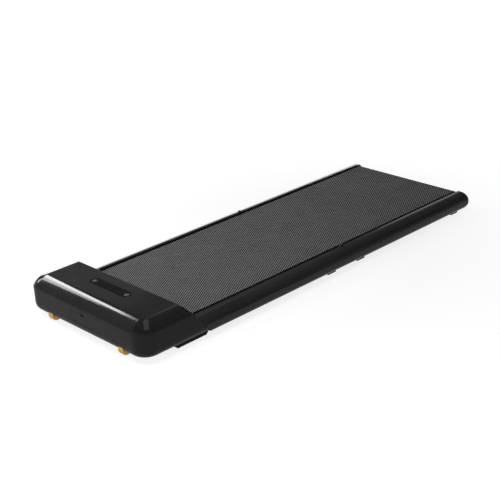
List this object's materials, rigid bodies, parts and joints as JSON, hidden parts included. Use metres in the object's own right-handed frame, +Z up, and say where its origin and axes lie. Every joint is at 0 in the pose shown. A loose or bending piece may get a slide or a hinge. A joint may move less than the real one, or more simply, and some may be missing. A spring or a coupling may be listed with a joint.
{
  "type": "walking pad",
  "caption": "Flat folding walking treadmill with a rounded motor head, a woven belt between side rails, a flap over the power inlet, transport wheels and rubber feet.",
  "frame": {"origin": "centre of the footprint on the floor the feet stand on", "axes": "+X the right side seen from the rear, +Y from the motor head to the rear roller, +Z up"},
  "size_m": [0.52, 1.42, 0.117],
  "materials": {
    "hood_shell": "satin moulded shell, black",
    "black_plastic": "fine matt grain, black",
    "smoked_window": "polished, smoked black",
    "lamp_lens": "clear white lens",
    "circuit_board": "green lacquer",
    "bare_aluminium": "machined",
    "rail_coat": "black anodised, satin",
    "frame_paint": "black powder coat",
    "bright_steel": "turned and ground",
    "dark_steel": "black oxide",
    "motor_paint": "dark enamel",
    "black_rubber": "matt",
    "walking_belt": "woven face, fine diamond flecks",
    "deck_board": "fibreboard with a waxed black face",
    "amber_wheel": "amber moulded tread"
  },
  "bodies": {
    "front_half": {"motor_hood": "hood_shell", "head_base": "black_plastic", "power_bay": "black_plastic", "power_inlet": "black_plastic", "switch_body": "black_plastic", "front_fold_caps": "black_plastic", "front_pan": "black_plastic", "display_window": "smoked_window", "display_lamps": "lamp_lens", "display_board": "circuit_board", "controller_board": "circuit_board", "heat_sink": "bare_aluminium", "front_rail_left": "rail_coat", "front_rail_right": "rail_coat", "front_frame": "frame_paint", "motor_cradle": "frame_paint", "wheel_brackets": "frame_paint", "casing_screws": "bright_steel", "motor_strap": "bright_steel", "front_roller_axle": "bright_steel", "front_deck_screws": "bright_steel", "wheel_axles": "bright_steel", "front_hinge_blocks": "dark_steel", "hinge_pins": "dark_steel", "motor_case": "motor_paint", "drive_belt": "black_rubber", "front_cushions": "black_rubber", "head_feet": "black_rubber", "front_fold_feet": "black_rubber", "belt_front_run": "walking_belt", "front_deck": "deck_board"},
    "rear_half": {"rear_rail_left": "rail_coat", "rear_rail_right": "rail_coat", "rear_cap_left": "black_plastic", "rear_cap_right": "black_plastic", "rear_frame": "frame_paint", "rear_deck": "deck_board", "rear_cushions": "black_rubber", "rear_deck_screws": "bright_steel", "rear_pan": "black_plastic", "rear_fold_caps": "black_plastic", "rear_hinge_blocks": "dark_steel", "rear_fold_feet": "black_rubber", "rear_feet": "black_rubber", "rear_roller_axle": "bright_steel", "take_up_blocks": "bright_steel", "tension_bolts": "bright_steel", "belt_rear_run": "walking_belt"},
    "front_roller": {"front_roller_drum": "bright_steel", "front_roller_bearings": "bright_steel", "driven_pulley": "bare_aluminium"},
    "rear_roller": {"rear_roller_drum": "bright_steel", "rear_roller_bearings": "bright_steel"},
    "motor_armature": {"motor_rotor": "bright_steel", "motor_pulley": "bare_aluminium"},
    "left_transport_wheel": {"left_wheel": "amber_wheel"},
    "right_transport_wheel": {"right_wheel": "amber_wheel"},
    "flap": {"power_flap": "hood_shell"},
    "rocker": {"switch_rocker": "black_plastic"}
  },
  "joints": [
    {"name": "fold", "type": "hinge", "parent": "front_half", "child": "rear_half", "pos_m": [0, 0.105, 0.0643], "axis": [1, 0, 0], "range_deg": [0, 180]},
    {"name": "front_roller_spin", "type": "hinge", "parent": "front_half", "child": "front_roller", "pos_m": [0, -0.56, 0.0411], "axis": [-1, 0, 0], "continuous": true},
    {"name": "rear_roller_spin", "type": "hinge", "parent": "rear_half", "child": "rear_roller", "pos_m": [0, 0.6865, 0.0411], "axis": [-1, 0, 0], "continuous": true},
    {"name": "motor_spin", "type": "hinge", "parent": "front_half", "child": "motor_armature", "pos_m": [0, -0.622, 0.057], "axis": [-1, 0, 0], "continuous": true},
    {"name": "left_wheel_spin", "type": "hinge", "parent": "front_half", "child": "left_transport_wheel", "pos_m": [-0.157, -0.6905, 0.0205], "axis": [1, 0, 0], "continuous": true},
    {"name": "right_wheel_spin", "type": "hinge", "parent": "front_half", "child": "right_transport_wheel", "pos_m": [0.157, -0.6905, 0.0205], "axis": [1, 0, 0], "continuous": true},
    {"name": "flap_open", "type": "hinge", "parent": "front_half", "child": "flap", "pos_m": [0, -0.7085, 0.043], "axis": [1, 0, 0], "range_deg": [0, 90]},
    {"name": "rocker_press", "type": "hinge", "parent": "front_half", "child": "rocker", "pos_m": [0.024, -0.683, 0.058], "axis": [1, 0, 0], "range_deg": [0, 16]}
  ],
  "couplings": [
    {"joint": "rear_roller_spin", "follows": "front_roller_spin", "ratio": 1},
    {"joint": "motor_spin", "follows": "front_roller_spin", "ratio": 1.7}
  ]
}
